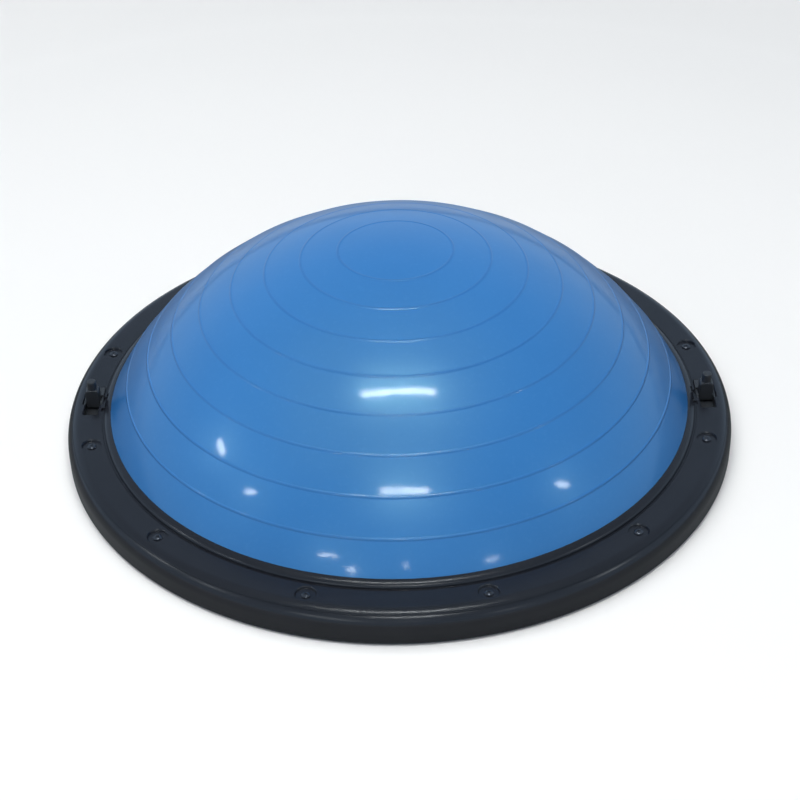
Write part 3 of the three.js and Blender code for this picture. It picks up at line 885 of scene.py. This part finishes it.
def build_feet():
    low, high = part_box(FEET[0])
    radius = (high.x - low.x) / 2
    corners = [(0, low.z, 0)]
    for ring_r in (3 * MM, 5.5 * MM, 8 * MM):
        corners += [
            (ring_r - 0.5 * MM, low.z, 0.15 * MM),
            (ring_r - 0.3 * MM, low.z + 0.5 * MM, 0.1 * MM),
            (ring_r + 0.3 * MM, low.z + 0.5 * MM, 0.1 * MM),
            (ring_r + 0.5 * MM, low.z, 0.15 * MM),
        ]
    corners += [(radius, low.z, 0.8 * MM), (radius, high.z, 0.4 * MM), (0, high.z, 0)]
    outline = round_corners(corners, 3, False)
    for node in FEET:
        spot = centre_of(node)
        verts, faces = revolve(outline, SMALL_SEGMENTS, False, (spot.x, spot.y))
        foot = add_object("rubber_" + node, mesh_of(node, verts, faces))
        finished(foot, "platform", [node], FOOT_RUBBER)


def build_valve():
    low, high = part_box("valve_body")
    neck_r, bore_r = 8.6 * MM, 5 * MM
    flange_r = high.x
    flange_low = high.z - 2 * MM
    corners = [
        (bore_r, low.z, 0.5 * MM),
        (neck_r, low.z, 0.8 * MM),
        (neck_r, flange_low, 0.3 * MM),
        (flange_r, flange_low, 0.5 * MM),
        (flange_r, high.z, 0.7 * MM),
        (bore_r, high.z, 0.5 * MM),
    ]
    verts, faces = revolve(round_corners(corners), SMALL_SEGMENTS)
    valve = add_object("valve_seat", mesh_of("valve_seat", verts, faces))
    finished(valve, "platform", ["valve_body"], VALVE_RUBBER)


def build_plug():
    low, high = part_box("valve_plug")
    head_r = high.x
    stem_r = 4.6 * MM
    head_top = 4.2 * MM
    dish = low.z + 0.9 * MM
    corners = [
        (0, dish, 0),
        (head_r - 2.4 * MM, dish, 0.5 * MM),
        (head_r - 1.9 * MM, low.z, 0.4 * MM),
        (head_r, low.z, 0.6 * MM),
        (head_r, head_top, 0.3 * MM),
        (stem_r, head_top, 0.2 * MM),
        (stem_r, high.z - 3 * MM, 1 * MM),
        (stem_r - 1.4 * MM, high.z, 0.8 * MM),
        (0, high.z, 0),
    ]
    outline = round_corners(corners, 4, False)
    plug = add_object("air_plug", mesh_of("air_plug", *revolve(outline, SMALL_SEGMENTS, False)))
    half_bar = head_r - 1.2 * MM
    bar = box_part((-half_bar, -1.3 * MM, low.z + 0.05 * MM), (half_bar, 1.3 * MM, dish + 0.4 * MM))
    combine(plug, [bar], "UNION")
    finished(plug, "plug", ["valve_plug"], PLUG_PLASTIC)


# ================================================================ band anchors
def rod_along_x(centre, radius, half_length):
    """A plain cylinder whose axis lies along X through its centre."""
    outline = [(0, -half_length), (radius, -half_length), (radius, half_length), (0, half_length)]
    verts, faces = revolve(outline, SMALL_SEGMENTS, False)
    turn = Matrix.Translation(centre) @ Matrix.Rotation(math.pi / 2, 4, "Y")
    return [tuple(turn @ Vector(v)) for v in verts], faces


def shoulder_part(centre, half_width, half_depth, top, round_r):
    """The post's block: straight sides, rounded shoulders, softly rounded vertical edges."""
    sections = []
    for z in (centre.z, top - round_r):
        sections.append(rounded_rectangle((centre.x, centre.y), half_width, half_depth, 1.2 * MM, z))
    for k in range(1, 7):
        turn = math.radians(15 * k)
        width = half_width - round_r * (1 - math.cos(turn))
        z = top - round_r * (1 - math.sin(turn))
        sections.append(rounded_rectangle((centre.x, centre.y), width, half_depth, 1.2 * MM, z))
    return loft(sections)


def stem_part(centre, radius, low, high):
    """The round stem on top of a post, with a rounded end."""
    corners = [
        (0, low, 0),
        (radius, low, 0),
        (radius, high, 1.3 * MM),
        (0, high, 0),
    ]
    outline = round_corners(corners, 5, False)
    return revolve(outline, SMALL_SEGMENTS, False, (centre.x, centre.y))


def build_post(side):
    node = "anchor_post_" + side
    low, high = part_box(node)
    half_width = (high.x - low.x) / 2
    half_depth = (high.y - low.y) / 2
    pivot = centre_of("anchor_pin_" + side)
    shoulder_top = pivot.z + SHOULDER_RISE
    post = add_object("post_" + side, mesh_of(node, *rod_along_x(pivot, half_depth, half_width)))
    shoulder = shoulder_part(pivot, half_width, half_depth, shoulder_top, SHOULDER_ROUND)
    combine(post, [shoulder], "UNION")
    combine(post, [stem_part(pivot, STEM_R, shoulder_top - 3 * MM, high.z)], "UNION")
    combine(post, [rod_along_x(pivot, PIN_BORE_R, 2 * half_width)], "DIFFERENCE")
    remesh = post.modifiers.new("remesh", "REMESH")
    remesh.mode = "VOXEL"
    remesh.voxel_size = 0.22 * MM
    soften = post.modifiers.new("soften", "SMOOTH")
    soften.factor = 0.5
    soften.iterations = 5
    applied(post)
    tidy_mesh(post.data)
    finished(post, side + "_post", [node], ANCHOR_PLASTIC_PAINTED_LIGHT)


def dress_cad(node, material, width):
    """Keeps a CAD node's shape, and gives it soft edges and a material."""
    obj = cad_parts[node]
    obj.data.materials.clear()
    obj.data.materials.append(material)
    weld = obj.modifiers.new("weld", "WELD")
    weld.merge_threshold = 0.01 * MM
    bevel = obj.modifiers.new("bevel", "BEVEL")
    bevel.width = width
    bevel.segments = 2
    bevel.limit_method = "ANGLE"
    bevel.angle_limit = math.radians(40)
    return obj


build_dome()
build_dome_skirt()
build_ring()
build_tray()
build_screws()
build_feet()
build_valve()
build_plug()
for side_name in ("left", "right"):
    build_post(side_name)
    dress_cad("anchor_bracket_" + side_name, ANCHOR_PLASTIC_PAINTED_LIGHT, 0.3 * MM)
    dress_cad("anchor_pin_" + side_name, PIN_STEEL, 0.2 * MM)


# ================================================================ studio
FLOOR_SIZE = 30.0
FADE_FROM = 0.9  # where the floor starts to melt into the room, for the camera
FADE_TO = 2.6
CEILING = 2.6
# Ceiling strip lights, whose reflections show on the vinyl: x, y, length along x, width, strength
STRIPS = (
    (0.0, -0.49, 1.10, 0.09, 36.0),
    (0.13, -2.53, 1.02, 0.13, 35.0),
    (-4.54, -0.49, 0.35, 0.5, 26.0),
    (-4.27, -2.24, 0.6, 0.14, 34.0),
    (4.92, -1.93, 0.95, 0.15, 34.0),
    (-2.76, -5.73, 0.9, 0.2, 34.0),
    (-2.11, -7.08, 0.4, 0.5, 30.0),
    (0.24, -6.40, 0.12, 0.5, 30.0),
    (4.19, -6.51, 0.8, 0.2, 30.0),
)
LAMP_COLOUR = (0.94, 1.0, 1.02)
SOFTBOX_SIZE = 4.0
SOFTBOX_HEIGHT = 3.0
SOFTBOX_RADIANCE = 2.35
SOFTBOX_X = -0.5
SOFTBOX_Y = -0.4
ROOM_LOW = 0.62  # brightness of the room at the level of the floor, and high up
ROOM_HIGH = 0.30
ROOM_FILL = 0.19  # how much of the room's light reaches matt surfaces
ROOM_UNDER = 0.30  # light from below the floor, for the underside alone
ROOM_TINT = (0.74, 0.99, 1.30, 1.0)
FLOOR_PALE = (0.94, 0.89, 0.87, 1.0)  # seen by the camera, white under these lamps
# How much light the floor sends back, from FLOOR_NEAR in front to FLOOR_FAR behind.
FLOOR_NEAR = -1.0
FLOOR_FAR = 1.5
FLOOR_BOUNCE = ((0.20, 0.45), (0.30, 0.30), (0.42, 0.12), (0.55, 0.15), (0.80, 0.62))

CAMERA_DISTANCE = 1.646
CAMERA_AZIMUTH = math.radians(1.06)
CAMERA_ELEVATION = math.radians(36.29)
CAMERA_ROLL = math.radians(1.35)
CAMERA_LENS = 80.57
CAMERA_SHIFT = (0.0008, 0.0227)


def from_underside(nodes, links):
    """One for rays that start under the platform, so that the floor lets light up to it."""
    surface = nodes.new("ShaderNodeNewGeometry")
    back = nodes.new("ShaderNodeVectorMath")
    back.operation = "SCALE"
    links.new(surface.outputs["Incoming"], back.inputs[0])
    links.new(nodes.new("ShaderNodeLightPath").outputs["Ray Length"], back.inputs["Scale"])
    start = nodes.new("ShaderNodeVectorMath")
    links.new(surface.outputs["Position"], start.inputs[0])
    links.new(back.outputs[0], start.inputs[1])
    level = nodes.new("ShaderNodeVectorMath")
    level.operation = "MULTIPLY"
    level.inputs[1].default_value = (1, 1, 0)
    links.new(start.outputs[0], level.inputs[0])
    reach = length_node(nodes, links, level.outputs[0])
    height = split_node(nodes, links, start.outputs[0])["Z"]
    inside = math_node(nodes, links, "LESS_THAN", reach, PLATFORM_R - 2 * MM)
    low = math_node(nodes, links, "LESS_THAN", height, 20 * MM)
    return math_node(nodes, links, "MULTIPLY", inside, low)


def floor_material():
    """Pale and matt, melting into the bright room far away, and clear when seen from below."""
    material, nodes, links, shader = new_material("floor")
    shader.inputs["Roughness"].default_value = 0.9
    shader.inputs["Specular IOR Level"].default_value = 0.0
    clear = nodes.new("ShaderNodeBsdfTransparent")
    mix = nodes.new("ShaderNodeMixShader")
    behind = nodes.new("ShaderNodeNewGeometry").outputs["Backfacing"]
    under = math_node(nodes, links, "MAXIMUM", behind, from_underside(nodes, links))
    seen = nodes.new("ShaderNodeLightPath").outputs["Is Camera Ray"]
    place = object_place(nodes)
    away = range_node(nodes, links, length_node(nodes, links, place), 0.0, 1.0, FADE_FROM, FADE_TO)
    fade = math_node(nodes, links, "MULTIPLY", away, seen)
    links.new(math_node(nodes, links, "MAXIMUM", under, fade), mix.inputs["Fac"])
    along = split_node(nodes, links, place)["Y"]
    depth = range_node(nodes, links, along, 0.0, 1.0, FLOOR_NEAR, FLOOR_FAR)
    shades = ramp_node(nodes, links, depth, [(at, (v, v, v)) for at, v in FLOOR_BOUNCE])
    colour = mix_node(nodes, links, seen, shades, FLOOR_PALE)
    links.new(colour, shader.inputs["Base Color"])
    links.new(shader.outputs["BSDF"], mix.inputs[1])
    links.new(clear.outputs["BSDF"], mix.inputs[2])
    links.new(mix.outputs["Shader"], nodes["Material Output"].inputs["Surface"])
    return material


def build_floor():
    half = FLOOR_SIZE / 2
    mesh = bpy.data.meshes.new("floor")
    corners = [(-half, -half, 0), (half, -half, 0), (half, half, 0), (-half, half, 0)]
    mesh.from_pydata(corners, [], [(0, 1, 2, 3)])
    mesh.materials.append(floor_material())
    add_object("floor", mesh)


def build_room():
    """An even bright room: white to the camera, softer to everything else."""
    world = bpy.data.worlds.new("room")
    bpy.context.scene.world = world
    world.use_nodes = True
    nodes, links = world.node_tree.nodes, world.node_tree.links
    background = nodes["Background"]
    direction = nodes.new("ShaderNodeTexCoord").outputs["Generated"]
    height = split_node(nodes, links, direction)["Z"]
    strength = range_node(nodes, links, height, ROOM_LOW, ROOM_HIGH, 0.0, 0.8)
    path = nodes.new("ShaderNodeLightPath")
    seen = path.outputs["Is Camera Ray"]
    matt = range_node(nodes, links, path.outputs["Is Diffuse Ray"], 1.0, ROOM_FILL, 0, 1)
    fill = math_node(nodes, links, "MULTIPLY", strength, matt)
    below = range_node(nodes, links, height, ROOM_UNDER, 0.0, -0.2, 0.0)
    fill = math_node(nodes, links, "ADD", fill, below)
    level = nodes.new("ShaderNodeMix")
    links.new(seen, level.inputs["Factor"])
    links.new(fill, level.inputs["A"])
    level.inputs["B"].default_value = 1.0
    links.new(level.outputs["Result"], background.inputs["Strength"])
    tint = mix_node(nodes, links, seen, ROOM_TINT, (1.0, 1.0, 1.0, 1.0))
    links.new(tint, background.inputs["Color"])


def area_light(name, place, size_x, size_y, radiance):
    """A downward light of a given brightness per area, unseen by the camera."""
    lamp = bpy.data.lights.new(name, "AREA")
    lamp.shape = "RECTANGLE"
    lamp.size = size_x
    lamp.size_y = size_y
    lamp.energy = radiance * math.pi * size_x * size_y
    lamp.color = LAMP_COLOUR
    light = add_object(name, lamp)
    light.location = place
    light.visible_camera = False
    return light


def build_lights():
    for number, (x, y, length, width, radiance) in enumerate(STRIPS):
        area_light(f"strip_{number}", (x, y, CEILING), length, width, radiance)
    softbox = area_light(
        "softbox", (SOFTBOX_X, SOFTBOX_Y, SOFTBOX_HEIGHT), SOFTBOX_SIZE, SOFTBOX_SIZE, SOFTBOX_RADIANCE
    )
    softbox.visible_glossy = False


def build_camera():
    """A camera in front of the trainer, looking down at the middle of the platform."""
    data = bpy.data.cameras.new("camera")
    data.lens = CAMERA_LENS
    data.shift_x, data.shift_y = CAMERA_SHIFT
    camera = add_object("camera", data)
    level = math.cos(CAMERA_ELEVATION)
    back = Vector((
        math.sin(CAMERA_AZIMUTH) * level,
        -math.cos(CAMERA_AZIMUTH) * level,
        math.sin(CAMERA_ELEVATION),
    ))
    camera.location = Vector((0, 0, PLATFORM_BOTTOM)) + back * CAMERA_DISTANCE
    look = (-back).to_track_quat("-Z", "Y").to_matrix().to_4x4()
    roll = Matrix.Rotation(-CAMERA_ROLL, 4, "Z")
    camera.matrix_world = Matrix.Translation(camera.location) @ look @ roll
    bpy.context.scene.camera = camera


build_floor()
build_room()
build_lights()
build_camera()
bpy.context.scene.view_settings.view_transform = "Standard"
